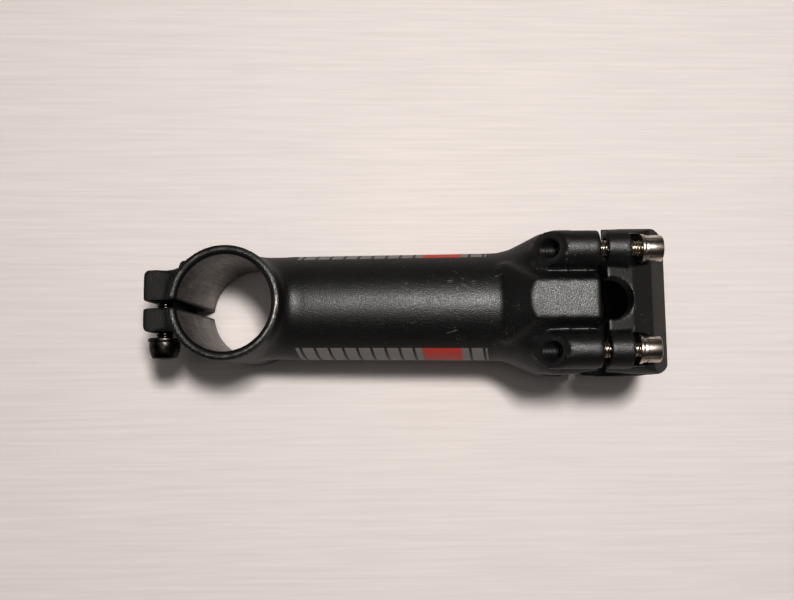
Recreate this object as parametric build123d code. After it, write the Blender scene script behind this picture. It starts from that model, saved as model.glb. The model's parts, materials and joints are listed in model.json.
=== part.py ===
from build123d import *

import os
from math import cos, radians, sin, tan

os.makedirs("parts", exist_ok=True)

# Handlebar stem, threadless clamp type, in millimetres.
# Row frame: origin at the centre of the steerer bore, half way up the collar; +Z along the
# steerer axis; +X forwards towards the handlebar; +Y is left. The slot and both pinch bolts are
# at -X, and the two bolts go in from opposite sides.
# Extension frame: the same origin, turned about Y by STEM_ANGLE, so that its x runs from the
# steerer axis to the handlebar axis.

# ---------------------------------------------------------------- driving dimensions
STEM_LENGTH = 110.0        # steerer axis to handlebar axis, along the extension
STEM_ANGLE = 7.0           # how far the extension drops from square to the steerer, degrees

STEERER_D = 28.6           # steerer tube the collar clamps
COLLAR_H = 40.0            # stack height of the collar
COLLAR_WALL = 2.7
COLLAR_ROUND = 0.7         # rounding of the collar's outer rims
BORE_CHAMFER = 0.8
SLOT_W = 2.0               # pinch slot between the two ears
EAR_LEFT_T = 9.4           # thickness of the ear on +Y
EAR_RIGHT_T = 7.2          # thickness of the ear on -Y
EAR_DROP = 2.6             # how far the ears stop short of each collar face
EAR_SWEEP_R = 12.0         # hollow that runs from the left ear into the collar
EAR_CORNER_R = 2.0
PINCH_BOLT_Z = 11.5        # each pinch bolt's height above and below the bore centre
PINCH_BOLT_GAP = 0.5       # from a pinch bolt to the outside of the collar

BAR_D = 31.8               # handlebar the front clamp holds
CLAMP_W = 43.6             # width of the front clamp along the handlebar
SEAT_WALL = 3.4            # metal above and below the handlebar seat
BODY_FACE_BACK = 2.3       # the body's clamp face, behind the handlebar axis
PLATE_FACE_BACK = 0.5      # the faceplate's clamp face, behind the handlebar axis
PLATE_WALL = 6.3           # metal in front of the handlebar, at the corners of the facets
PLATE_CORNER_R = 7.0       # front corners of the faceplate, seen from above
PLATE_EDGE_R = 8.5         # rounding of its long edges, seen from the front
FACET_ANGLES = (90, 70, 51, 23, 5)   # where the flat facets meet, degrees up from straight ahead
LUG_R = 5.5                # round lugs that carry the faceplate bolts
LUG_TO_SIDE = 1.5          # the lugs stand this far in from the clamp's sides
LUG_L = 22.4               # length of the body's tapped lugs, from the clamp face back
LUG_MOUTH = 14.9           # from the clamp face back to where each tapped hole comes out
LUG_SLOPE = 50.0           # how far the lugs' rear ends slope back from their axis, degrees
BOLT_TO_BAR = 1.9          # metal between a faceplate bolt and the handlebar seat
PLATE_LUG_L = 6.8          # length of the faceplate's lugs

TUBE_R_REAR = 15.9         # outside radius of the extension at the collar
TUBE_R_FRONT = 16.8        # and where the front clamp begins
TUBE_WALL = 2.8
FLARE_L = 16.0             # from the round tube to the full width of the clamp
FLARE_STEPS = 4
LAND_L = 12.0              # straight part of the clamp behind its face
SEAT_WINDOW_R = 10.5       # round window from the handlebar seat into the hollow extension
NECK_BACK = 5.0            # the hollow reaches the window's size this far behind the clamp's land
NECK_L = 5.0               # and narrows to it over this length
PAD_W = 11.8               # flat-topped pad between the upper (and lower) lugs
PAD_L = 20.7               # its flat top, from the clamp face back
PAD_RISE = 4.0             # its height above the seat wall
PAD_END_R = 9.6            # its round rear end, seen from above
PAD_LEAD = 42.0            # how steeply that end comes down to the tube, degrees
PAD_SIDE = 58.0            # how steeply its sides fall into the valleys beside it, degrees
PAD_ROOT = 10.3            # from its flat top down to its foot, inside the flare
CLAMP_CORNER_R = 6.5       # rounding of the clamp's long edges
NOTCH_R = 6.0              # half-round notches in the faceplate's top and bottom edges
NOTCH_DEPTH = 8.0          # how far they reach in from the faceplate's clamp face
DISH_R = 24.0              # shallow round dish in the front of the faceplate
DISH_DEPTH = 1.1

BOLT_D = 5.0               # M5 throughout
BOLT_L = 18.0              # under the head
TAPPED_CLEARANCE = 0.05    # radial, bolt to tapped hole
PLAIN_CLEARANCE = 0.35     # radial, bolt to plain hole
WASHER_CLEARANCE = 0.08    # radial, bolt to washer
WASHER_T = 1.0
POCKET_CLEARANCE = 0.5     # radial, washer to the pocket it seats in
FACE_HEAD_D = 7.9
FACE_HEAD_H = 5.3
FACE_WASHER_D = 8.6
PINCH_HEAD_D = 9.2         # under the head, tapering to the end
PINCH_HEAD_END_D = 7.2
PINCH_HEAD_H = 5.1
PINCH_WASHER_D = 10.0
HEAD_CHAMFER = 0.5
TIP_CHAMFER = 0.6
SOCKET_AF = 4.0            # hexagon socket across flats
SOCKET_DEPTH = 2.6
HEAD_GAP = 0.02            # play between a washer and the bolt head that turns on it

# How far each bolt is slackened off its seat: (side, level) to millimetres.
FACE_BOLT_SLACK = {("right", "upper"): 2.0, ("left", "upper"): 3.6,
                   ("right", "lower"): 1.4, ("left", "lower"): 2.4}
PINCH_BOLT_SLACK = {("right", "upper"): 1.6, ("left", "lower"): 0.6}

# ---------------------------------------------------------------- sizes that follow
BORE_R = STEERER_D / 2
COLLAR_R = BORE_R + COLLAR_WALL
PINCH_BOLT_X = -(COLLAR_R + PINCH_BOLT_GAP + BOLT_D / 2)
EAR_REAR_X = PINCH_BOLT_X - PINCH_WASHER_D / 2
EAR_T = {"left": EAR_LEFT_T, "right": EAR_RIGHT_T}
EAR_HALF_H = COLLAR_H / 2 - EAR_DROP

SEAT_R = BAR_D / 2
SIDE_Y = CLAMP_W / 2
BODY_FACE_X = STEM_LENGTH - BODY_FACE_BACK
PLATE_FACE_X = STEM_LENGTH - PLATE_FACE_BACK
PLATE_LUG_X = PLATE_FACE_X + PLATE_LUG_L
PLATE_R = SEAT_R + PLATE_WALL
CLAMP_HALF_H = SEAT_R + SEAT_WALL
FACE_BOLT_Y = SIDE_Y - LUG_TO_SIDE - LUG_R
FACE_BOLT_Z = SEAT_R + BOLT_TO_BAR + BOLT_D / 2
LAND_X = BODY_FACE_X - LAND_L
FLARE_X = LAND_X - FLARE_L
TAPPED_R = BOLT_D / 2 + TAPPED_CLEARANCE
PLAIN_R = BOLT_D / 2 + PLAIN_CLEARANCE
POCKET_R = FACE_WASHER_D / 2 + POCKET_CLEARANCE
BIG = 4 * STEM_LENGTH      # longer than anything here, for cuts that run right through

SIDES = {"right": -1, "left": 1}
LEVELS = {"upper": 1, "lower": -1}


def incline(shape):
    """Takes a shape from the extension frame to the row frame."""
    return Rot(0, STEM_ANGLE, 0) * shape


def rod_x(radius, x_from, x_to, y=0.0, z=0.0):
    """A round bar along x."""
    return extrude(Plane.YZ.offset(x_from) * Pos(y, z) * Circle(radius), amount=x_to - x_from)


def rod_y(radius, y_from, y_to, x=0.0, z=0.0):
    """A round bar along y."""
    face = Plane((x, y_from, z), x_dir=(1, 0, 0), z_dir=(0, 1, 0)) * Circle(radius)
    return extrude(face, amount=y_to - y_from)


def block(x_from, x_to, y_from, y_to, z_from, z_to):
    """A rectangular block between two corners."""
    centre = Pos((x_from + x_to) / 2, (y_from + y_to) / 2, (z_from + z_to) / 2)
    return centre * Box(x_to - x_from, y_to - y_from, z_to - z_from)


def flare_section(share):
    """A cross-section of the flare: the round tube at share 0, the full clamp at share 1."""
    x = FLARE_X + share * FLARE_L
    swell = 3 * share ** 2 - 2 * share ** 3
    half_w = TUBE_R_FRONT + swell * (SIDE_Y - TUBE_R_FRONT)
    half_h = TUBE_R_FRONT + share ** 4 * (CLAMP_HALF_H - TUBE_R_FRONT)
    corner = TUBE_R_FRONT + swell * (CLAMP_CORNER_R - TUBE_R_FRONT)
    if share == 0:
        return Plane.YZ.offset(x) * Circle(TUBE_R_FRONT)
    return Plane.YZ.offset(x) * RectangleRounded(2 * half_w, 2 * half_h, corner)


# ---------------------------------------------------------------- stem body
def collar():
    """The steerer collar, a ring with rounded rims."""
    profile = Plane.XZ * Pos(COLLAR_R / 2, 0) * Rectangle(COLLAR_R, COLLAR_H)
    rims = profile.vertices().filter_by(lambda v: v.X > COLLAR_R / 2)
    return revolve(fillet(rims, COLLAR_ROUND), Axis.Z)


def ears():
    """Both ears in one block, which the slot then parts."""
    ear_l = -EAR_REAR_X
    left_y = SLOT_W / 2 + EAR_LEFT_T
    right_y = -(SLOT_W / 2 + EAR_RIGHT_T)
    tongue = Pos(EAR_REAR_X + ear_l / 2, (left_y + right_y) / 2) * Rectangle(ear_l, left_y - right_y)
    rear = tongue.vertices().filter_by(lambda v: v.X < EAR_REAR_X / 2)
    plan = fillet(rear, EAR_CORNER_R) + Circle(COLLAR_R)
    root = plan.vertices().filter_by(lambda v: abs(v.Y - left_y) < 0.01).sort_by(Axis.X)[-1]
    plan = fillet(root, EAR_SWEEP_R)
    return extrude(Plane.XY.offset(-EAR_HALF_H) * plan, amount=2 * EAR_HALF_H)


def extension():
    """The tube and its flare up to the clamp face, solid for now, in the extension frame."""
    rear = Plane.YZ * Circle(TUBE_R_REAR)
    front = Plane.YZ.offset(FLARE_X) * Circle(TUBE_R_FRONT)
    tube = loft([rear, front])
    flare = Part()
    for step in range(FLARE_STEPS):
        near, far = flare_section(step / FLARE_STEPS), flare_section((step + 1) / FLARE_STEPS)
        flare += loft([near, far], ruled=True)
    land = extrude(flare_section(1), amount=LAND_L)
    return tube + flare + land


def body_lugs():
    """Four tapped lugs, cut off on a slope behind, in the extension frame."""
    lugs = Part()
    for side in SIDES.values():
        lug = rod_x(LUG_R, BODY_FACE_X - LUG_L, BODY_FACE_X, side * FACE_BOLT_Y, FACE_BOLT_Z)
        slope = Pos(BODY_FACE_X - LUG_MOUTH, side * FACE_BOLT_Y, FACE_BOLT_Z) * Rot(0, -LUG_SLOPE, 0)
        lug -= slope * Pos(0, 0, LUG_R * 2) * Box(8 * LUG_R, 4 * LUG_R, 4 * LUG_R)
        lugs += lug
    return lugs + lugs.mirror(Plane.XY)


def body_pads():
    """The flat-topped pads between the lugs, each with a round sloping end behind, in the extension frame."""
    top_z = CLAMP_HALF_H + PAD_RISE
    top_y = PAD_W / 2
    foot_y = top_y + PAD_ROOT / tan(radians(PAD_SIDE))
    foot_z = top_z - PAD_ROOT
    section = Polyline((foot_y, foot_z), (top_y, top_z), (-top_y, top_z), (-foot_y, foot_z), close=True)
    ridge = extrude(make_face(Plane.YZ.offset(FLARE_X) * section), amount=BODY_FACE_X - FLARE_X)
    end_x = BODY_FACE_X - PAD_L + PAD_END_R
    foot_r = PAD_END_R + top_z / tan(radians(PAD_LEAD))
    rounding = Pos(end_x, 0, top_z / 2) * Cone(foot_r, PAD_END_R, top_z)
    rounding += block(end_x, BODY_FACE_X, -foot_r, foot_r, 0, top_z)
    pad = ridge & rounding
    return pad + pad.mirror(Plane.XY)


def hollow():
    """The space inside the extension, from the steerer bore to the handlebar seat."""
    neck_x = LAND_X - NECK_BACK
    front_r = TUBE_R_FRONT - TUBE_WALL
    outline = Polyline((0, 0), (0, TUBE_R_REAR - TUBE_WALL), (neck_x - NECK_L, front_r),
                       (neck_x, SEAT_WINDOW_R), (STEM_LENGTH, SEAT_WINDOW_R), (STEM_LENGTH, 0),
                       close=True)
    return revolve(make_face(Plane.XZ * outline), Axis.X)


def bore_cut():
    """The steerer bore with its two chamfers."""
    top = COLLAR_H / 2
    outline = Polyline((0, -top - 1), (BORE_R + BORE_CHAMFER + 1, -top - 1), (BORE_R, -top + BORE_CHAMFER),
                       (BORE_R, top - BORE_CHAMFER), (BORE_R + BORE_CHAMFER + 1, top + 1), (0, top + 1),
                       close=True)
    return revolve(make_face(Plane.XZ * outline), Axis.Z)


def pinch_seat(side, level):
    """Where a pinch bolt seats on its ear, z running out through the bolt's head."""
    y = SIDES[side] * (SLOT_W / 2 + EAR_T[side])
    return Pos(PINCH_BOLT_X, y, LEVELS[level] * PINCH_BOLT_Z) * Rot(-SIDES[side] * 90, 0, 0)


def stem_body():
    """One forging: collar and ears, hollow extension, and the rear half of the front clamp."""
    body = collar() + ears() + incline(extension() + body_lugs() + body_pads())
    body -= bore_cut()
    body -= incline(hollow())
    body -= incline(rod_y(SEAT_R, -BIG, BIG, x=STEM_LENGTH))
    body -= block(EAR_REAR_X - 1, -BORE_R / 2, -SLOT_W / 2, SLOT_W / 2, -COLLAR_H, COLLAR_H)
    for side, level in PINCH_BOLT_SLACK:
        pocket_r = PINCH_WASHER_D / 2 + POCKET_CLEARANCE
        body -= pinch_seat(side, level) * Pos(0, 0, BIG / 2) * Cylinder(pocket_r, BIG)
        body -= pinch_seat(side, level) * Cylinder(PLAIN_R, 2 * EAR_T[side])
        body -= pinch_seat(side, level) * Pos(0, 0, -BIG / 2) * Cylinder(TAPPED_R, BIG)
    for side, level in FACE_BOLT_SLACK:
        y, z = SIDES[side] * FACE_BOLT_Y, LEVELS[level] * FACE_BOLT_Z
        body -= incline(rod_x(TAPPED_R, FLARE_X, BIG, y, z))
    return body


# ---------------------------------------------------------------- faceplate
def faceplate():
    """The front half of the handlebar clamp, in the extension frame."""
    edge_points = [(STEM_LENGTH + PLATE_R * cos(radians(a)), PLATE_R * sin(radians(a))) for a in FACET_ANGLES]
    upper = [(PLATE_FACE_X, PLATE_R)] + edge_points
    profile = Polyline(*upper, *[(x, -z) for x, z in reversed(upper)], close=True)
    plate = extrude(make_face(Plane.XZ * profile), amount=SIDE_Y, both=True)
    plate &= extrude(Plane.YZ * RectangleRounded(CLAMP_W, 2 * PLATE_R, PLATE_EDGE_R), amount=BIG)
    depth = PLATE_R + PLATE_FACE_BACK
    outline = Pos(PLATE_FACE_X + depth / 2, 0) * Rectangle(depth, CLAMP_W)
    front = outline.vertices().filter_by(lambda v: v.X > STEM_LENGTH)
    outline = fillet(front, PLATE_CORNER_R)
    plate &= extrude(Plane.XY.offset(-BIG) * outline, amount=2 * BIG)
    for side in SIDES.values():
        for level in LEVELS.values():
            y, z = side * FACE_BOLT_Y, level * FACE_BOLT_Z
            plate -= rod_x(POCKET_R, PLATE_LUG_X, BIG, y, z)
            plate += rod_x(LUG_R, PLATE_FACE_X, PLATE_LUG_X, y, z)
            plate -= rod_x(PLAIN_R, 0, BIG, y, z)
    plate -= rod_y(SEAT_R, -BIG, BIG, x=STEM_LENGTH)
    notch_x = PLATE_FACE_X + NOTCH_DEPTH - NOTCH_R
    notch = Pos(notch_x, 0, 0) * Cylinder(NOTCH_R, BIG)
    notch += block(0, notch_x, -NOTCH_R, NOTCH_R, -BIG, BIG)
    plate -= notch & block(0, BIG, -BIG, BIG, 0.5 * SEAT_R, BIG)
    plate -= notch & block(0, BIG, -BIG, BIG, -BIG, -0.5 * SEAT_R)
    plate -= Pos(STEM_LENGTH + PLATE_R + DISH_R - DISH_DEPTH, 0, 0) * Sphere(DISH_R)
    return plate


# ---------------------------------------------------------------- bolts and washers
def bolt(head_d, head_end_d, head_h):
    """An M5 socket-head bolt: the head's underside at z = 0, the tip at z = -BOLT_L."""
    end_r = head_end_d / 2
    outline = Polyline((0, 0), (head_d / 2, 0), (end_r, head_h - HEAD_CHAMFER),
                       (end_r - HEAD_CHAMFER, head_h), (0, head_h), close=True)
    head = revolve(make_face(Plane.XZ * outline), Axis.Z)
    shank = Pos(0, 0, -BOLT_L / 2) * Cylinder(BOLT_D / 2, BOLT_L)
    tip = shank.edges().filter_by(GeomType.CIRCLE).sort_by(Axis.Z)[0]
    shank = chamfer(tip, TIP_CHAMFER)
    socket = RegularPolygon(SOCKET_AF / 2, 6, major_radius=False)
    return head + shank - extrude(Plane.XY.offset(head_h) * socket, amount=-SOCKET_DEPTH)


def washer(outer_d):
    """A flat washer that seats on z = 0 and reaches up to z = WASHER_T."""
    ring = Circle(outer_d / 2) - Circle(BOLT_D / 2 + WASHER_CLEARANCE)
    return extrude(ring, amount=WASHER_T)


FACE_BOLT = bolt(FACE_HEAD_D, FACE_HEAD_D, FACE_HEAD_H)
PINCH_BOLT = bolt(PINCH_HEAD_D, PINCH_HEAD_END_D, PINCH_HEAD_H)

parts = {"stem_body": stem_body(), "faceplate": incline(faceplate())}
for (side, level), slack in FACE_BOLT_SLACK.items():
    seat = Pos(PLATE_LUG_X, SIDES[side] * FACE_BOLT_Y, LEVELS[level] * FACE_BOLT_Z) * Rot(0, 90, 0)
    name = f"{level}_{side}"
    parts[f"faceplate_bolt_{name}"] = incline(seat * Pos(0, 0, slack + WASHER_T + HEAD_GAP) * FACE_BOLT)
    parts[f"faceplate_washer_{name}"] = incline(seat * Pos(0, 0, slack) * washer(FACE_WASHER_D))
for (side, level), slack in PINCH_BOLT_SLACK.items():
    seat = pinch_seat(side, level)
    parts[f"steerer_bolt_{level}"] = seat * Pos(0, 0, slack + WASHER_T + HEAD_GAP) * PINCH_BOLT
    parts[f"steerer_washer_{level}"] = seat * Pos(0, 0, slack) * washer(PINCH_WASHER_D)

for name, shape in parts.items():
    export_step(shape, f"parts/{name}.step")
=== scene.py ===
import json
import math

import bmesh
import bpy
import numpy as np
from mathutils import Matrix, Vector


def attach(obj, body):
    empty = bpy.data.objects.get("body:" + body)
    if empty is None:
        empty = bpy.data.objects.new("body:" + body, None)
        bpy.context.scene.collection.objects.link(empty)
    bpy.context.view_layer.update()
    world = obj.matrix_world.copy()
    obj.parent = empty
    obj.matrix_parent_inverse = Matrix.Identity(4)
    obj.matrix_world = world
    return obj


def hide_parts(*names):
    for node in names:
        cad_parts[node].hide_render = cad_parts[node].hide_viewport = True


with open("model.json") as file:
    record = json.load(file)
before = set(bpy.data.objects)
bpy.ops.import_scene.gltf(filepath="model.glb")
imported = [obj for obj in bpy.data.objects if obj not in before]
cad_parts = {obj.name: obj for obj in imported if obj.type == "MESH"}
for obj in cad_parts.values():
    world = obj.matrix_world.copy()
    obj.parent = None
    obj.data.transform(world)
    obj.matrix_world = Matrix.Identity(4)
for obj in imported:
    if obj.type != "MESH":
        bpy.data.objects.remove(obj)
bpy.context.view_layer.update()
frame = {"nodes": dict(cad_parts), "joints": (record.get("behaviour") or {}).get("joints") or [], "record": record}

MM = 0.001

# ---------------------------------------------------------------- places and sizes, from the frame
mounts = {mount["name"]: mount for mount in frame["record"]["mounts"]}
joints = {joint["name"]: joint for joint in frame["joints"]}

AHEAD = Vector(joints["faceplate_slide"]["axis"])      # along the extension, to the handlebar
ACROSS = Vector((0, 1, 0))                             # along the handlebar
UPWARD = AHEAD.cross(ACROSS)                           # square to both, towards the upper lugs
BORE_R = mounts["steerer_clamp"]["dims"]["r_mm"] * MM
SEAT_R = mounts["handlebar_clamp"]["dims"]["r_mm"] * MM
SEAT_CENTRE = Vector(mounts["handlebar_clamp"]["pos_m"])
STEM_LENGTH = SEAT_CENTRE.dot(AHEAD)
COLLAR_TOP = mounts["collar_top"]["pos_m"][2]

# Sizes of the part that the frame doesn't hold.
TUBE_R = 16.3 * MM
COLLAR_R = BORE_R + 2.7 * MM
BORE_CHAMFER = 0.8 * MM
SLOT_WIDTH = 2.0 * MM
TAPPED_R = 2.55 * MM
LUG_TAP_DEPTH = 34.0 * MM
EAR_TAP_DEPTH = 14.0 * MM
CLEAR_HOLE_R = 2.85 * MM
FACE_POCKET_R = 4.8 * MM
PINCH_POCKET_R = 5.5 * MM
BOLT_LENGTH = 18.0 * MM
THREAD_PITCH = 0.8 * MM
THREAD_CREST_R = 2.5 * MM
THREAD_ROOT_R = 2.1 * MM
SOCKET_AF = 4.0 * MM
SOCKET_DEPTH = 2.6 * MM
FACE_HEAD_R = 3.95 * MM
FACE_HEAD_H = 5.3 * MM
PINCH_HEAD_R = 4.6 * MM
PINCH_HEAD_TOP_R = 3.6 * MM
PINCH_HEAD_H = 5.1 * MM
WASHER_THICK = 1.0 * MM
FACE_WASHER_R = 4.3 * MM
PINCH_WASHER_R = 5.0 * MM

# Bolts and washers: threads, fits and edges.
THREAD_FLAT = 0.12          # of the half turn from root to crest, the share that stays at the root
THREAD_FLANK = 0.72         # and the share that the flank takes to rise
TIP_TAPER = 1.3             # how far a bolt's tip narrows, as a share of its thread's depth
THREAD_CUT = 0.15 * MM      # how deep the threads in the tapped holes are
SHANK_IN_HEAD = 0.3 * MM
HEAD_ROUND = 0.5 * MM
WASHER_ROUND = 0.22 * MM
WASHER_PLAY = 0.08 * MM     # between a washer's hole and the thread
WASHER_UNDER = 0.02 * MM    # between a washer and the head that it rides against

# How the forgings' edges are rounded: the faces' size, and the passes of smoothing.
STEM_VOXEL = 0.72 * MM
PLATE_VOXEL = 0.4 * MM
STEM_PASSES = 13
PLATE_PASSES = 10
CLAMP_ROUNDING = 0.8        # the shares of it that the front clamp and the rest take
REST_ROUNDING = 0.25
CLAMP_FROM = 0.60 * STEM_LENGTH     # the clamp's share begins here, along the extension
CLAMP_BLEND = 0.06 * STEM_LENGTH
ROOT_PASSES = 106           # more of it where the extension grows out of the collar
ROOT_R = 19.0 * MM          # how far that is from the steerer axis
ROOT_REACH = 4.0 * MM
REAR_ROOT = 0.4             # the share of this that the ears' roots take
SLOT_KEPT = 5.0 * MM        # and how near to the slot it ends

# What the machines cut.
SEAT_SKIM = 0.05 * MM       # the washers' seats are skimmed flat this deep
FACE_SKIM = 0.1 * MM        # taken off each collar face
RIM_SKIM = 0.06 * MM        # taken off round the collar at its rims
RIM_TURNED = 2.2 * MM       # the rims are turned true this far down
RIM_ROUND = 0.55 * MM
PAST = 30.0 * MM            # cutters reach this far either way, past the part
SEAT_PAST = 40.0 * MM
LARGE_STEPS = 160           # facets round the collar's rims and the handlebar's seat
BORE_STEPS = 128
HEAD_STEPS = 72             # and round bolt heads and washers

FACEPLATE_BOLTS = ("upper_left", "upper_right", "lower_left", "lower_right")
STEERER_BOLTS = ("upper", "lower")


def basis(centre, x_way, z_way):
    """A placing at centre, its x and z along the two directions given."""
    y_way = z_way.cross(x_way)
    return Matrix.Translation(centre) @ Matrix((x_way, y_way, z_way)).transposed().to_4x4()


# ---------------------------------------------------------------- colours and nodes
def colour(code):
    """An sRGB hex value as the linear colour that a shader takes."""
    shares = [int(code[i:i + 2], 16) / 255 for i in (1, 3, 5)]
    return tuple(c / 12.92 if c <= 0.04045 else ((c + 0.055) / 1.055) ** 2.4 for c in shares) + (1.0,)


def per_mm(size):
    """The scale at which a pattern's features are size millimetres apart, with coordinates in metres."""
    return 1 / (size * MM)


def add_node(tree, kind, inputs=None, **settings):
    """Adds a node, sets its own settings, and fills its inputs with values or with other nodes' outputs."""
    node = tree.nodes.new(kind)
    for name, value in settings.items():
        setattr(node, name, value)
    for name, value in (inputs or {}).items():
        if isinstance(value, bpy.types.NodeSocket):
            tree.links.new(value, node.inputs[name])
        else:
            node.inputs[name].default_value = value
    return node


def start_material(name, base, metallic, roughness, ior=None):
    """A material with its uniform values set, its node tree, its shader, and where a point lies on the
    piece."""
    material = bpy.data.materials.new(name)
    material.use_nodes = True
    tree = material.node_tree
    shader = tree.nodes["Principled BSDF"]
    shader.inputs["Base Color"].default_value = colour(base)
    shader.inputs["Metallic"].default_value = metallic
    shader.inputs["Roughness"].default_value = roughness
    if ior is not None:
        shader.inputs["IOR"].default_value = ior
    place = add_node(tree, "ShaderNodeTexCoord").outputs["Object"]
    return material, tree, shader, place


def noise(tree, place, size, detail=2.0, roughness=0.5, squash=(1, 1, 1)):
    """How a speckle or cloud of that feature size in millimetres varies from place to place, from 0 to 1."""
    spread = add_node(tree, "ShaderNodeMapping", {"Vector": place, "Scale": squash}, vector_type="POINT")
    inputs = {"Vector": spread.outputs[0], "Scale": per_mm(size), "Detail": detail, "Roughness": roughness}
    return add_node(tree, "ShaderNodeTexNoise", inputs).outputs["Fac"]


def remap(tree, value, from_low, from_high, to_low=0.0, to_high=1.0):
    """Stretches a value from one range to another and holds it there."""
    inputs = {"Value": value, "From Min": from_low, "From Max": from_high,
              "To Min": to_low, "To Max": to_high}
    return add_node(tree, "ShaderNodeMapRange", inputs, clamp=True).outputs[0]


def calc(tree, operation, first, second=0.0):
    """One sum on one or two numbers."""
    return add_node(tree, "ShaderNodeMath", {0: first, 1: second}, operation=operation).outputs[0]


def tint(tree, share, first, second):
    """A colour between two, by a share from 0 to 1."""
    inputs = {0: share, 6: first, 7: second}
    return add_node(tree, "ShaderNodeMix", inputs, data_type="RGBA").outputs[2]


def relief(tree, shader, height, depth, strength=1.0):
    """Raises the surface by height times depth in millimetres, as light sees it."""
    inputs = {"Height": height, "Distance": depth * MM, "Strength": strength}
    bump = add_node(tree, "ShaderNodeBump", inputs)
    tree.links.new(bump.outputs["Normal"], shader.inputs["Normal"])


# ---------------------------------------------------------------- finishes
ALUMINA_IOR = 1.76      # the anodised skin is aluminium oxide, which shines more than plastic or paint

# Pattern sizes in millimetres, as noise() takes them. Real bead-blast pits, hairline scratches and tool
# marks are about 0.1, too fine to show, so they are drawn coarser.
BLAST_GRAIN = 0.42
TURNING_PITCH = 0.35
STEEL_RINGS = 0.22
SCRATCH_WIDTH = 0.45
NICK_SIZE = 0.9         # small rubbed spots
SCUFFED_PATCH = 5.0
RUBBED_EDGE = 2.5
SHEEN_CLOUD = 14.0
SPACER_RUB = 1.6
STREAK_WIDTH = 0.7      # marks that the steerer rubbed along the bore
BORE_RINGS = 0.5
GREASE_BLOTCH = 7.0
HANDLED_FILM = 3.0
OXIDE_FILM = 1.3
BOARD_GRAIN = 1.3

SCRATCH_TURNS = (35, -20, 100)  # the ways the scratches run, in degrees
BAR_PITCH = 4.25 * MM   # printed bars along the extension
BAR_GAP = 0.08          # the share of the pitch that stays black on either side of a bar
BAR_EDGE = 0.03         # and the share over which a bar fades in
BAR_SLANT = 0.17        # how far they lean, along per unit round the tube
BARS_FROM = 19.6 * MM
BARS_TO = 77.5 * MM
ACCENT_FROM = 57.7 * MM
ACCENT_TO = 69.5 * MM
PRINT_LEFT_LOWER = 2.2 * MM     # the left side's print sits this much lower than the right side's
PRINT_ABOVE = 10.5 * MM # the print's reach above and below the tube's side, measured round it
PRINT_EDGE = 0.1 * MM   # how softly the print ends along the extension
BAND_EDGE = 0.15 * MM   # and round it
PRINT_SKIN_R = 15.0 * MM    # no print nearer to the axis than this, which keeps it out of the hollow
SKIN_EDGE = 0.2 * MM


def frame_position(tree, place):
    """Where a point is along, across and square to the extension."""
    parts = []
    for way in (AHEAD, ACROSS, UPWARD):
        dot = add_node(tree, "ShaderNodeVectorMath", {0: place, 1: way}, operation="DOT_PRODUCT")
        parts.append(dot.outputs["Value"])
    return parts


def printed_bars(tree, place):
    """Shares of grey bars and of the orange accent printed on both sides of the extension."""
    ahead, across, upward = frame_position(tree, place)
    side = calc(tree, "ABSOLUTE", across)
    arc = calc(tree, "MULTIPLY", calc(tree, "ARCTAN2", upward, side), TUBE_R)
    leaning = calc(tree, "ADD", ahead, calc(tree, "MULTIPLY", arc, BAR_SLANT))
    phase = calc(tree, "FRACT", calc(tree, "DIVIDE", leaning, BAR_PITCH))
    bar = calc(tree, "MULTIPLY", remap(tree, phase, BAR_GAP, BAR_GAP + BAR_EDGE),
               remap(tree, phase, 1 - BAR_GAP, 1 - BAR_GAP - BAR_EDGE))
    inside = calc(tree, "MULTIPLY", remap(tree, leaning, BARS_FROM, BARS_FROM + PRINT_EDGE),
                  remap(tree, leaning, BARS_TO, BARS_TO - PRINT_EDGE))
    lower = remap(tree, across, -MM, MM, 0.0, PRINT_LEFT_LOWER)
    reach = calc(tree, "ABSOLUTE", calc(tree, "ADD", arc, lower))
    band = remap(tree, reach, PRINT_ABOVE, PRINT_ABOVE - BAND_EDGE)
    squares = calc(tree, "ADD", calc(tree, "POWER", across, 2.0), calc(tree, "POWER", upward, 2.0))
    radius = calc(tree, "SQRT", squares)
    outside = remap(tree, radius, PRINT_SKIN_R, PRINT_SKIN_R + SKIN_EDGE)
    field = calc(tree, "MULTIPLY", calc(tree, "MULTIPLY", inside, band), outside)
    accent = calc(tree, "MULTIPLY", remap(tree, leaning, ACCENT_FROM, ACCENT_FROM + PRINT_EDGE),
                  remap(tree, leaning, ACCENT_TO, ACCENT_TO - PRINT_EDGE))
    accent = calc(tree, "MULTIPLY", accent, field)
    grey = calc(tree, "MULTIPLY", calc(tree, "MULTIPLY", bar, field), calc(tree, "SUBTRACT", 1.0, accent))
    return grey, accent


def scuffs(tree, place):
    """Shares of fine scratches and rub marks, thickest on top of the extension near the front clamp."""
    ahead, across, upward = frame_position(tree, place)
    patches = remap(tree, noise(tree, place, SCUFFED_PATCH, detail=3.0), 0.52, 0.60)
    marks = remap(tree, noise(tree, place, NICK_SIZE, detail=2.0), 0.72, 0.78, 0.0, 0.6)
    for turn in SCRATCH_TURNS:
        inputs = {"Vector": place, "Rotation": (0, 0, math.radians(turn))}
        turned = add_node(tree, "ShaderNodeMapping", inputs, vector_type="POINT").outputs[0]
        line = remap(tree, noise(tree, turned, SCRATCH_WIDTH, detail=1.0, squash=(0.04, 1, 1)), 0.70, 0.74)
        marks = calc(tree, "MAXIMUM", marks, line)
    forward = remap(tree, ahead, 0.35 * STEM_LENGTH, 0.6 * STEM_LENGTH, 0.12, 1.0)
    near = calc(tree, "MULTIPLY", forward, remap(tree, upward, 4 * MM, 12 * MM, 0.1, 1.0))
    return calc(tree, "MULTIPLY", calc(tree, "MULTIPLY", marks, patches), near)


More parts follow.
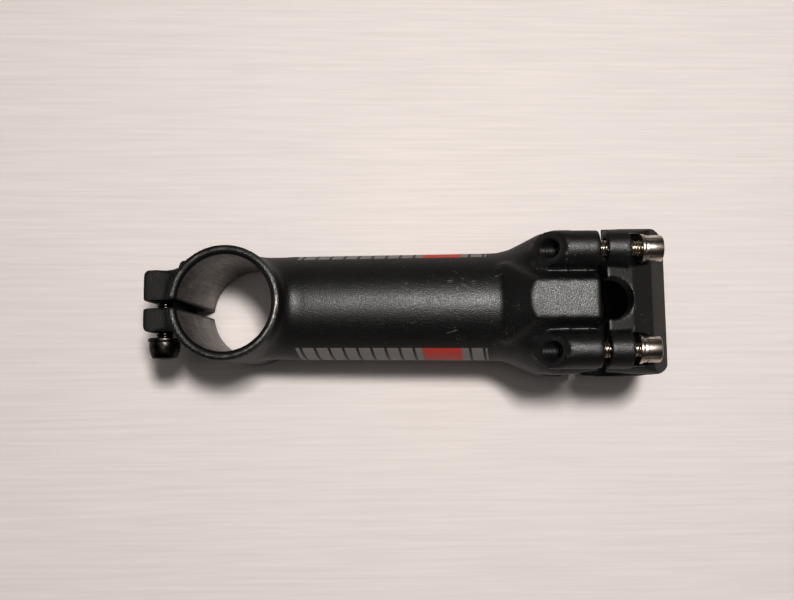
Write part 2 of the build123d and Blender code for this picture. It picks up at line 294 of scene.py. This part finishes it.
def black_anodised_aluminium():
    """Forged, bead-blasted, then anodised black: a deep satin that glows softly where it faces the light,
    with a fine sparkle from the blast, pale scuffs, and edges rubbed a little brighter."""
    material, tree, shader, place = start_material("black_anodised_aluminium", "#060606", 0.0, 0.50,
                                                   ALUMINA_IOR)
    grain = noise(tree, place, BLAST_GRAIN, detail=1.5, roughness=0.6)
    cloud = noise(tree, place, SHEEN_CLOUD, detail=3.0)
    grey, accent = printed_bars(tree, place)
    marks = scuffs(tree, place)
    rim = remap(tree, add_node(tree, "ShaderNodeNewGeometry").outputs["Pointiness"], 0.53, 0.60)
    uneven = remap(tree, noise(tree, place, RUBBED_EDGE, detail=3.0), 0.42, 0.62, 0.1, 0.5)
    rubbed = calc(tree, "MULTIPLY", rim, uneven)
    base = tint(tree, remap(tree, grain, 0.42, 0.75), colour("#040404"), colour("#121110"))
    base = tint(tree, grey, base, colour("#85827e"))
    base = tint(tree, accent, base, colour("#c4371f"))
    base = tint(tree, rubbed, base, colour("#3a3835"))
    base = tint(tree, calc(tree, "MULTIPLY", marks, 0.38), base, colour("#a39e97"))
    tree.links.new(base, shader.inputs["Base Color"])
    dull = calc(tree, "ADD", remap(tree, grain, 0.3, 0.7, 0.41, 0.55),
                remap(tree, cloud, 0.3, 0.7, -0.03, 0.03))
    dull = calc(tree, "SUBTRACT", dull, calc(tree, "MULTIPLY", rubbed, 0.2))
    tree.links.new(dull, shader.inputs["Roughness"])
    relief(tree, shader, grain, depth=0.09, strength=0.9)
    return material


def turned_black_face():
    """The collar's end faces, turned flat and rubbed by spacers until the metal shows through the black:
    they read as a clean bright ring with faint tool circles."""
    material, tree, shader, place = start_material("turned_black_face", "#6a6866", 0.8, 0.34)
    radius = add_node(tree, "ShaderNodeVectorMath", {0: place, 1: (1, 1, 0)}, operation="MULTIPLY").outputs[0]
    radius = add_node(tree, "ShaderNodeVectorMath", {0: radius}, operation="LENGTH").outputs["Value"]
    circles = calc(tree, "SINE", calc(tree, "MULTIPLY", radius, 2 * math.pi / (TURNING_PITCH * MM)))
    rub = noise(tree, place, SPACER_RUB, detail=4.0)
    base = tint(tree, remap(tree, rub, 0.35, 0.7), colour("#5a5856"), colour("#8d8a86"))
    tree.links.new(base, shader.inputs["Base Color"])
    tree.links.new(remap(tree, rub, 0.3, 0.7, 0.30, 0.42), shader.inputs["Roughness"])
    relief(tree, shader, circles, depth=0.004, strength=0.5)
    return material


def worn_bore_wall():
    """Bored aluminium whose black has been rubbed thin by the steerer: dull grey metal, with streaks along
    the bore, faint tool rings round it and darker blotches of old grease."""
    material, tree, shader, place = start_material("worn_bore_wall", "#8a8683", 0.8, 0.45)
    streak = noise(tree, place, STREAK_WIDTH, detail=3.0, squash=(1, 1, 0.08))
    ring = noise(tree, place, BORE_RINGS, detail=2.0, squash=(0.06, 0.06, 1))
    blotch = noise(tree, place, GREASE_BLOTCH, detail=4.0, roughness=0.6)
    marks = calc(tree, "ADD", streak, ring)
    wear = calc(tree, "MULTIPLY", marks, remap(tree, blotch, 0.3, 0.7, 0.35, 0.65))
    base = tint(tree, remap(tree, wear, 0.25, 0.75), colour("#5c5958"), colour("#b8b2ae"))
    tree.links.new(base, shader.inputs["Base Color"])
    tree.links.new(remap(tree, wear, 0.2, 0.8, 0.36, 0.52), shader.inputs["Roughness"])
    relief(tree, shader, marks, depth=0.006, strength=0.6)
    return material


def machined_black_bore():
    """Slot, handlebar seat and bolt holes, cut before anodising: flat dark surfaces with cutter marks."""
    material, tree, shader, place = start_material("machined_black_bore", "#0b0b0b", 0.0, 0.45, ALUMINA_IOR)
    lines = noise(tree, place, TURNING_PITCH, detail=2.0, squash=(1, 0.05, 1))
    base = tint(tree, remap(tree, lines, 0.4, 0.7), colour("#070707"), colour("#1b1a1a"))
    tree.links.new(base, shader.inputs["Base Color"])
    relief(tree, shader, lines, depth=0.006, strength=0.5)
    return material


def bright_turned_steel():
    """Stainless bolt steel, turned on a lathe: a clear metal shine with fine rings round the head and a
    slightly warm, handled film."""
    material, tree, shader, place = start_material("bright_turned_steel", "#c4beb6", 1.0, 0.20)
    ring = noise(tree, place, STEEL_RINGS, detail=2.0, squash=(0.04, 1, 1))
    film = noise(tree, place, HANDLED_FILM, detail=4.0)
    base = tint(tree, remap(tree, film, 0.35, 0.7), colour("#e0dad2"), colour("#b8ada0"))
    tree.links.new(base, shader.inputs["Base Color"])
    shine = calc(tree, "ADD", remap(tree, film, 0.3, 0.7, 0.20, 0.29), remap(tree, ring, 0.3, 0.7, 0.0, 0.06))
    tree.links.new(shine, shader.inputs["Roughness"])
    relief(tree, shader, ring, depth=0.004, strength=0.5)
    return material


def blackened_steel():
    """Steel with a black oxide skin: dark but metallic, brighter where a key or a washer has rubbed it."""
    material, tree, shader, place = start_material("blackened_steel", "#2b2927", 1.0, 0.34)
    ring = noise(tree, place, STEEL_RINGS, detail=2.0, squash=(0.05, 0.05, 1))
    film = noise(tree, place, OXIDE_FILM, detail=4.0, roughness=0.6)
    rim = remap(tree, add_node(tree, "ShaderNodeNewGeometry").outputs["Pointiness"], 0.52, 0.60)
    base = tint(tree, remap(tree, film, 0.4, 0.75), colour("#262422"), colour("#57524c"))
    base = tint(tree, calc(tree, "MULTIPLY", rim, 0.6), base, colour("#8f8a84"))
    tree.links.new(base, shader.inputs["Base Color"])
    tree.links.new(remap(tree, film, 0.3, 0.7, 0.26, 0.42), shader.inputs["Roughness"])
    relief(tree, shader, calc(tree, "ADD", ring, film), depth=0.006, strength=0.5)
    return material


def painted_floor():
    """A pale painted board, matt and almost plain, with a faint long grain under the paint."""
    material, tree, shader, place = start_material("painted_floor", "#dcd7d6", 0.0, 0.62)
    grain = noise(tree, place, BOARD_GRAIN, detail=4.0, roughness=0.55, squash=(0.03, 1, 1))
    base = tint(tree, remap(tree, grain, 0.35, 0.7), colour("#dcd6d4"), colour("#d5cfcd"))
    tree.links.new(base, shader.inputs["Base Color"])
    relief(tree, shader, grain, depth=0.03, strength=0.3)
    return material


# ---------------------------------------------------------------- mesh work
def link_object(name, mesh):
    piece = bpy.data.objects.new(name, mesh)
    bpy.context.scene.collection.objects.link(piece)
    return piece


def settle_modifiers(piece):
    """Replaces a piece's mesh by what its modifiers make of it."""
    graph = bpy.context.evaluated_depsgraph_get()
    shaped = bpy.data.meshes.new_from_object(piece.evaluated_get(graph))
    piece.modifiers.clear()
    piece.data = shaped


def discard(pieces):
    for piece in pieces:
        bpy.data.objects.remove(piece)


def lathe(name, outline, steps=64, placing=Matrix.Identity(4)):
    """A solid turned round z from (radius, height) points. A radius of 0 is a point on the axis; an
    outline that touches the axis nowhere closes on itself, as a ring."""
    closed_ring = all(radius > 0 for radius, _ in outline)
    points, rows = [], []
    for radius, height in outline:
        turns = 1 if radius == 0 else steps
        rows.append(range(len(points), len(points) + turns))
        for step in range(turns):
            angle = 2 * math.pi * step / steps
            points.append((radius * math.cos(angle), radius * math.sin(angle), height))
    faces = []
    pairs = list(zip(rows, rows[1:]))
    if closed_ring:
        pairs.append((rows[-1], rows[0]))
    for low, high in pairs:
        for step in range(steps):
            ahead = (step + 1) % steps
            corners = [low[step % len(low)], low[ahead % len(low)],
                       high[ahead % len(high)], high[step % len(high)]]
            faces.append(list(dict.fromkeys(corners)))
    mesh = bpy.data.meshes.new(name)
    mesh.from_pydata([placing @ Vector(point) for point in points], [], faces)
    mesh.validate()
    return link_object(name, mesh)


def rounded(outline, radius, steps=3):
    """The outline with each corner that is marked True cut round; points are (x, y, marked)."""
    made = []
    count = len(outline)
    for index, (x, y, marked) in enumerate(outline):
        if not marked:
            made.append((x, y))
            continue
        corner = Vector((x, y))
        before = (Vector(outline[index - 1][:2]) - corner).normalized() * radius
        after = (Vector(outline[(index + 1) % count][:2]) - corner).normalized() * radius
        for step in range(steps + 1):
            share = step / steps
            point = corner + before * (1 - share) ** 2 + after * share ** 2
            made.append((point.x, point.y))
    return made


def prism(name, outline, low, high, placing=Matrix.Identity(4)):
    """A straight-sided solid from (x, y) points between two heights."""
    count = len(outline)
    points = [placing @ Vector((x, y, z)) for z in (low, high) for x, y in outline]
    faces = [list(range(count))[::-1], list(range(count, 2 * count))]
    faces += [[i, (i + 1) % count, (i + 1) % count + count, i + count] for i in range(count)]
    mesh = bpy.data.meshes.new(name)
    mesh.from_pydata(points, [], faces)
    return link_object(name, mesh)


def threaded_rod(name, length, crest, root, placing=Matrix.Identity(4), run_in=1.2, run_out=0.0):
    """A rod along -z from the origin with one helical thread, fading over run_in turns at its tip and
    run_out turns at the top."""
    steps, rows_a_turn = 40, 8
    rows = round(length / THREAD_PITCH * rows_a_turn)
    points, faces = [], []
    for row in range(rows + 1):
        turns = row / rows_a_turn
        left = (rows - row) / rows_a_turn
        for step in range(steps):
            share = step / steps
            tooth = 1 - abs(2 * ((turns - share) % 1.0) - 1)
            height = min(1.0, max(0.0, (tooth - THREAD_FLAT) / THREAD_FLANK))
            fade = min(1.0, turns / run_in) if run_in else 1.0
            if run_out:
                height = max(height, 1 - min(1.0, left / run_out))
            radius = root + (crest - root) * height
            radius -= (1 - fade) * (crest - root) * TIP_TAPER
            angle = 2 * math.pi * share
            z = -length + row * length / rows
            points.append(placing @ Vector((radius * math.cos(angle), radius * math.sin(angle), z)))
    for row in range(rows):
        for step in range(steps):
            ahead = (step + 1) % steps
            faces.append([row * steps + step, row * steps + ahead,
                          (row + 1) * steps + ahead, (row + 1) * steps + step])
    faces.append(list(range(steps))[::-1])
    faces.append(list(range(rows * steps, (rows + 1) * steps)))
    mesh = bpy.data.meshes.new(name)
    mesh.from_pydata(points, [], faces)
    return link_object(name, mesh)


def face_outward(piece):
    """Turns every face of a closed piece outward."""
    shell = bmesh.new()
    shell.from_mesh(piece.data)
    bmesh.ops.recalc_face_normals(shell, faces=shell.faces)
    shell.to_mesh(piece.data)
    shell.free()


def cut(piece, cutters):
    """Takes each cutter out of the piece; the new faces keep their cutter's material."""
    for cutter in cutters:
        face_outward(cutter)
        tool = piece.modifiers.new("cut", "BOOLEAN")
        tool.operation = "DIFFERENCE"
        tool.solver = "MANIFOLD"
        tool.material_mode = "TRANSFER"
        tool.object = cutter
        settle_modifiers(piece)
    discard(cutters)


def finish_surface(piece, sharp_angle):
    """Smooth shading, with creases kept where two faces meet at more than the angle, in degrees."""
    piece.data.shade_smooth()
    piece.data.set_sharp_from_angle(angle=math.radians(sharp_angle))


def soften(node, name, voxel, rounds):
    """A copy of a CAD shape with even small faces, its edges rounded as a forging's are. Each round is a
    number of passes and a function that says, for each vertex, how much of the rounding it takes."""
    piece = link_object(name, frame["nodes"][node].data.copy())
    piece.data.materials.clear()
    remesh = piece.modifiers.new("even_faces", "REMESH")
    remesh.mode = "VOXEL"
    remesh.voxel_size = voxel
    remesh.adaptivity = 0
    settle_modifiers(piece)
    for passes, weight in rounds:
        points = np.empty(len(piece.data.vertices) * 3)
        piece.data.vertices.foreach_get("co", points)
        shares = weight(points.reshape(-1, 3))
        group = piece.vertex_groups.new(name="rounding")
        levels = np.round(np.clip(shares, 0, 1) * 10).astype(int)
        for level in range(1, 11):
            group.add([int(i) for i in np.flatnonzero(levels == level)], level / 10, "REPLACE")
        smooth = piece.modifiers.new("round_edges", "SMOOTH")
        smooth.factor = 0.5
        smooth.iterations = passes
        smooth.vertex_group = group.name
        settle_modifiers(piece)
        piece.vertex_groups.clear()
    return piece


# ---------------------------------------------------------------- the pieces
def seat_cutter():
    """The handlebar's room in the clamp."""
    outline = [(0, -SEAT_PAST), (SEAT_R, -SEAT_PAST), (SEAT_R, SEAT_PAST), (0, SEAT_PAST)]
    return lathe("seat_cutter", outline, LARGE_STEPS, basis(SEAT_CENTRE, AHEAD, ACROSS))


def collar_cutters(finishes):
    """What a lathe takes off the collar at both ends: its face, its rim and the bore's chamfer."""
    reach = BORE_CHAMFER + MM
    inner, wall, outer = COLLAR_R - 2 * MM, COLLAR_R - RIM_SKIM, COLLAR_R + 9 * MM
    turned = [(COLLAR_R + 0.3 * MM, RIM_TURNED, False), (wall, RIM_TURNED - 0.5 * MM, False), (wall, 0, True),
              (inner, 0, False), (inner, -MM, False), (outer, -MM, False), (outer, RIM_TURNED, False)]
    chamfers, trims, rims = [], [], []
    for way in (1, -1):
        cone = [(0, way * (COLLAR_TOP - BORE_CHAMFER)), (BORE_R, way * (COLLAR_TOP - BORE_CHAMFER)),
                (BORE_R + reach, way * (COLLAR_TOP + MM)), (0, way * (COLLAR_TOP + MM))]
        chamfers.append(lathe("chamfer_cutter", cone, BORE_STEPS))
        chamfers[-1].data.materials.append(finishes["machined"])
        square = [(x * 2 * PAST, y * 2 * PAST) for x, y in ((-1, -1), (1, -1), (1, 1), (-1, 1))]
        trims.append(prism("end_cutter", square, way * (COLLAR_TOP - FACE_SKIM), way * (COLLAR_TOP + 5 * MM)))
        trims[-1].data.materials.append(finishes["turned"])
        outline = [(r, way * (COLLAR_TOP - FACE_SKIM - depth)) for r, depth in rounded(turned, RIM_ROUND)]
        rims.append(lathe("rim_cutter", outline, LARGE_STEPS))
        rims[-1].data.materials.append(finishes["forged"])
    return trims + rims + chamfers


def tap_cutters():
    """The tapped holes for the six bolts, with their threads. The pinch bolts' begin at the slot."""
    holes = []
    for tag in FACEPLATE_BOLTS:
        joint = joints["turn_faceplate_" + tag]
        placing = basis(Vector(joint["pos_m"]), ACROSS, Vector(joint["axis"]))
        holes.append(threaded_rod("tap", LUG_TAP_DEPTH, TAPPED_R + THREAD_CUT, TAPPED_R, placing, run_in=0))
    for tag in STEERER_BOLTS:
        joint = joints["turn_steerer_" + tag]
        centre = Vector(joint["pos_m"]) * Vector((1, 0, 1))
        placing = basis(centre, Vector((1, 0, 0)), Vector(joint["axis"]))
        holes.append(threaded_rod("tap", EAR_TAP_DEPTH, TAPPED_R + THREAD_CUT, TAPPED_R, placing, run_in=0))
    return holes


def stem_forging(finishes):
    """The stem body: the forging with soft blends, then the cuts that a machine makes crisp."""
    def weight(points):
        ahead = points @ np.array(AHEAD)
        front = np.clip((ahead - CLAMP_FROM) / CLAMP_BLEND, 0, 1)
        return np.maximum(REST_ROUNDING, front * CLAMP_ROUNDING)

    def root_weight(points):
        from_axis = np.hypot(points[:, 0], points[:, 1])
        near = np.clip(1 - np.abs(from_axis - ROOT_R) / ROOT_REACH, 0, 1) ** 0.5
        place = np.where(points[:, 0] > 0, 1.0, REAR_ROOT * (np.abs(points[:, 1]) > SLOT_KEPT))
        return near * place * np.clip((COLLAR_TOP - RIM_TURNED - np.abs(points[:, 2])) / MM, 0, 1)

    rounds = [(STEM_PASSES, weight), (ROOT_PASSES, root_weight)]
    body = soften("stem_body", "stem_forging", STEM_VOXEL, rounds)
    body.data.materials.append(finishes["forged"])
    bore = lathe("bore_cutter", [(0, -PAST), (BORE_R, -PAST), (BORE_R, PAST), (0, PAST)], BORE_STEPS)
    bore.data.materials.append(finishes["bore"])
    behind, in_bore, half = -40 * MM, -8 * MM, SLOT_WIDTH / 2
    slot = [(behind, -half), (in_bore, -half), (in_bore, half), (behind, half)]
    machined = [prism("slot_cutter", slot, -PAST, PAST), seat_cutter()] + tap_cutters()
    machined += spot_faces(STEERER_BOLTS, PINCH_POCKET_R, "turn_steerer_")
    for cutter in machined:
        cutter.data.materials.append(finishes["machined"])
    cut(body, [bore] + collar_cutters(finishes) + machined)
    finish_surface(body, sharp_angle=32)
    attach(body, "stem")
    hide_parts("stem_body")


def spot_faces(tags, radius, prefix):
    """Cutters for the flat round seats under the washers and for the clear holes in them. The prefix is
    that of the bolts' joints."""
    outline = [(0, -10 * MM), (CLEAR_HOLE_R, -10 * MM), (CLEAR_HOLE_R, -SEAT_SKIM), (radius, -SEAT_SKIM),
               (radius, 12 * MM), (0, 12 * MM)]
    cutters = []
    for tag in tags:
        joint = joints[prefix + tag]
        centre, way = Vector(joint["pos_m"]), Vector(joint["axis"])
        cutters.append(lathe("spot_face_cutter", outline, placing=basis(centre, UPWARD, way)))
    return cutters


def clamp_plate(finishes):
    """The faceplate, finished like the body."""
    def weight(points):
        return np.full(len(points), CLAMP_ROUNDING)

    plate = soften("faceplate", "faceplate_forging", PLATE_VOXEL, [(PLATE_PASSES, weight)])
    plate.data.materials.append(finishes["forged"])
    cutters = [seat_cutter()] + spot_faces(FACEPLATE_BOLTS, FACE_POCKET_R, "turn_faceplate_")
    for cutter in cutters:
        cutter.data.materials.append(finishes["machined"])
    cut(plate, cutters)
    finish_surface(plate, sharp_angle=32)
    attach(plate, "faceplate")
    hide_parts("faceplate")


def bolt_placing(node, joint):
    """Under a bolt's head, on its axis, with z running out through the head."""
    way, point = Vector(joint["axis"]), Vector(joint["pos_m"])
    tip = min((vertex.co - point).dot(way) for vertex in frame["nodes"][node].data.vertices)
    turn = way.to_track_quat("Z", "Y").to_matrix().to_4x4()
    return Matrix.Translation(point + way * (tip + BOLT_LENGTH)) @ turn


def socket_bolt(name, head_outline, head_height, finish, placing):
    """An M5 socket-head bolt: a turned head with a hexagon socket, and a shank with a real thread."""
    head = lathe(name, head_outline, HEAD_STEPS)
    face_outward(head)
    key_r = SOCKET_AF / 2 / math.cos(math.radians(30))
    angles = [math.radians(60 * corner) for corner in range(6)]
    hexagon = [(key_r * math.cos(angle), key_r * math.sin(angle)) for angle in angles]
    socket = prism("socket_cutter", hexagon, head_height - SOCKET_DEPTH, head_height + MM)
    bevel = [(0, head_height - 0.45 * MM), (key_r - 0.25 * MM, head_height - 0.35 * MM),
             (key_r + 0.55 * MM, head_height + 0.45 * MM), (0, head_height + MM)]
    cut(head, [socket, lathe("mouth_cutter", bevel, steps=48)])
    shank = threaded_rod(name + "_shank", BOLT_LENGTH + SHANK_IN_HEAD, THREAD_CREST_R, THREAD_ROOT_R,
                         Matrix.Translation((0, 0, SHANK_IN_HEAD)), run_in=1.4, run_out=1.2)
    face_outward(shank)
    tool = head.modifiers.new("shank", "BOOLEAN")
    tool.operation = "UNION"
    tool.solver = "MANIFOLD"
    tool.object = shank
    settle_modifiers(head)
    discard([shank])
    head.data.transform(placing)
    head.data.materials.clear()
    head.data.materials.append(finish)
    finish_surface(head, sharp_angle=28)
    return head


def washer_ring(name, outer_r, finish, placing):
    """A flat washer with rubbed-down edges."""
    inner_r = THREAD_CREST_R + WASHER_PLAY
    corners = [(inner_r, 0, True), (outer_r, 0, True),
               (outer_r, WASHER_THICK, True), (inner_r, WASHER_THICK, True)]
    ring = lathe(name, rounded(corners, WASHER_ROUND), HEAD_STEPS, placing)
    face_outward(ring)
    ring.data.materials.append(finish)
    finish_surface(ring, sharp_angle=40)
    return ring


def faceplate_fasteners(finishes):
    """Four bright bolts and their washers through the faceplate's lugs."""
    r, high, groove_r = FACE_HEAD_R, FACE_HEAD_H, FACE_HEAD_R - 0.16 * MM
    head = [(0, 0, False), (r, 0, True), (r, 1.0 * MM, False), (groove_r, 1.08 * MM, False),
            (groove_r, 1.3 * MM, False), (r, 1.38 * MM, False), (r, high, True), (0, high, False)]
    for tag in FACEPLATE_BOLTS:
        joint = joints["turn_faceplate_" + tag]
        placing = bolt_placing("faceplate_bolt_" + tag, joint)
        outline = rounded(head, HEAD_ROUND)
        bolt = socket_bolt("bright_bolt_" + tag, outline, high, finishes["bright"], placing)
        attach(bolt, "bolt_faceplate_" + tag)
        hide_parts("faceplate_bolt_" + tag)
        under = placing @ Matrix.Translation((0, 0, -WASHER_THICK - WASHER_UNDER))
        ring = washer_ring("bright_washer_" + tag, FACE_WASHER_R, finishes["bright"], under)
        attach(ring, "washer_faceplate_" + tag)
        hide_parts("faceplate_washer_" + tag)


def steerer_fasteners(finishes):
    """Two black pinch bolts with tapered heads, and their washers."""
    r, high = PINCH_HEAD_R, PINCH_HEAD_H
    head = [(0, 0, False), (r, 0, True), (r - 0.05 * MM, 2.0 * MM, True),
            (r - 0.45 * MM, 3.6 * MM, True), (PINCH_HEAD_TOP_R, high, True), (0, high, False)]
    for tag in STEERER_BOLTS:
        joint = joints["turn_steerer_" + tag]
        placing = bolt_placing("steerer_bolt_" + tag, joint)
        outline = rounded(head, HEAD_ROUND)
        bolt = socket_bolt("pinch_bolt_" + tag, outline, high, finishes["blackened"], placing)
        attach(bolt, "bolt_steerer_" + tag)
        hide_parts("steerer_bolt_" + tag)
        under = placing @ Matrix.Translation((0, 0, -WASHER_THICK - WASHER_UNDER))
        ring = washer_ring("pinch_washer_" + tag, PINCH_WASHER_R, finishes["blackened"], under)
        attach(ring, "washer_steerer_" + tag)
        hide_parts("steerer_washer_" + tag)


# ---------------------------------------------------------------- camera, floor and light
def add_camera():
    """Looks down on the stem from above its right side, a little turned, as one held by hand is."""
    place = Vector((78.1, -29.2, 272.9)) * MM
    aim = Vector((48.0, 2.9, -10.0)) * MM
    roll = math.radians(0.53)
    data = bpy.data.cameras.new("camera")
    data.lens = 40.8
    data.sensor_width = 36
    data.clip_start = 0.01
    camera = bpy.data.objects.new("camera", data)
    bpy.context.scene.collection.objects.link(camera)
    forward = (aim - place).normalized()
    up = (ACROSS - forward * forward.dot(ACROSS)).normalized()
    right = forward.cross(up)
    up, right = up * math.cos(roll) + right * math.sin(roll), right * math.cos(roll) - up * math.sin(roll)
    turn = Matrix((right, up, -forward)).transposed().to_4x4()
    camera.matrix_world = Matrix.Translation(place) @ turn
    bpy.context.scene.camera = camera


def add_floor():
    """The stem lies on its collar's rear rim and its lower front lugs, so the floor is tilted in this
    frame."""
    rear = Vector((-COLLAR_R, 0, -COLLAR_TOP))
    plate = [vertex.co for vertex in frame["nodes"]["faceplate"].data.vertices]
    slope = max(math.atan2(rear.z - point.z, point.x - rear.x) for point in plate)
    half = 3.0
    corners = [(-half, -half, 0), (half, -half, 0), (half, half, 0), (-half, half, 0)]
    mesh = bpy.data.meshes.new("floor")
    mesh.from_pydata(corners, [], [(0, 1, 2, 3)])
    floor = link_object("floor", mesh)
    floor.matrix_world = Matrix.Translation(rear) @ Matrix.Rotation(slope, 4, "Y")
    mesh.materials.append(painted_floor())


def add_area_light(name, place, aim, size, power, tone):
    data = bpy.data.lights.new(name, "AREA")
    data.shape = "RECTANGLE"
    data.size, data.size_y = size
    data.energy = power
    data.color = colour(tone)[:3]
    light = bpy.data.objects.new(name, data)
    bpy.context.scene.collection.objects.link(light)
    place, aim = Vector(place), Vector(aim)
    turn = (aim - place).to_track_quat("-Z", "Y").to_matrix().to_4x4()
    light.matrix_world = Matrix.Translation(place) @ turn


def add_studio():
    """A small soft lamp above, a little forward and to the left; low fills all round that show the flanks
    from the side; a weak wide light from straight above; and a dim room that is warm near the floor and
    pale at its top. Behind the floor the camera sees a plain grey backdrop."""
    middle = (0.05, 0, 0)
    add_area_light("key", (0.25, 0.145, 0.78), middle, size=(0.13, 0.11), power=6.2, tone="#fffdfa")
    for side in (-1, 1):
        add_area_light("side_fill", (0.05, side * 0.75, 0.20), middle, size=(0.9, 0.25), power=0.20,
                       tone="#ffffff")
        add_area_light("end_fill", (0.05 + side * 0.8, 0, 0.22), middle, size=(0.6, 0.25), power=0.45,
                       tone="#ffffff")
    overhead = bpy.data.lights.new("overhead", "SUN")
    overhead.energy = 0.2
    overhead.angle = math.radians(16)
    bpy.context.scene.collection.objects.link(bpy.data.objects.new("overhead", overhead))
    world = bpy.data.worlds.new("studio")
    bpy.context.scene.world = world
    world.use_nodes = True
    tree = world.node_tree
    place = add_node(tree, "ShaderNodeTexCoord").outputs["Generated"]
    height = add_node(tree, "ShaderNodeSeparateXYZ", {"Vector": place}).outputs["Z"]
    walls = tint(tree, remap(tree, height, 0.05, 0.5), colour("#33261f"), colour("#282524"))
    tone = tint(tree, remap(tree, height, 0.86, 0.97), walls, colour("#c4c0bc"))
    seen = add_node(tree, "ShaderNodeLightPath").outputs["Is Camera Ray"]
    tree.links.new(tint(tree, seen, tone, colour("#6b6662")), tree.nodes["Background"].inputs["Color"])
    tree.nodes["Background"].inputs["Strength"].default_value = 1.0
    view = bpy.context.scene.view_settings      # a steep tone curve, with deep shadows beside bright metal
    view.view_transform = "Standard"
    view.gamma = 0.70
    view.exposure = 0.14


def main():
    add_camera()
    add_floor()
    add_studio()
    finishes = {"forged": black_anodised_aluminium(), "turned": turned_black_face(),
                "bore": worn_bore_wall(), "machined": machined_black_bore(),
                "bright": bright_turned_steel(), "blackened": blackened_steel()}
    stem_forging(finishes)
    clamp_plate(finishes)
    faceplate_fasteners(finishes)
    steerer_fasteners(finishes)


main()
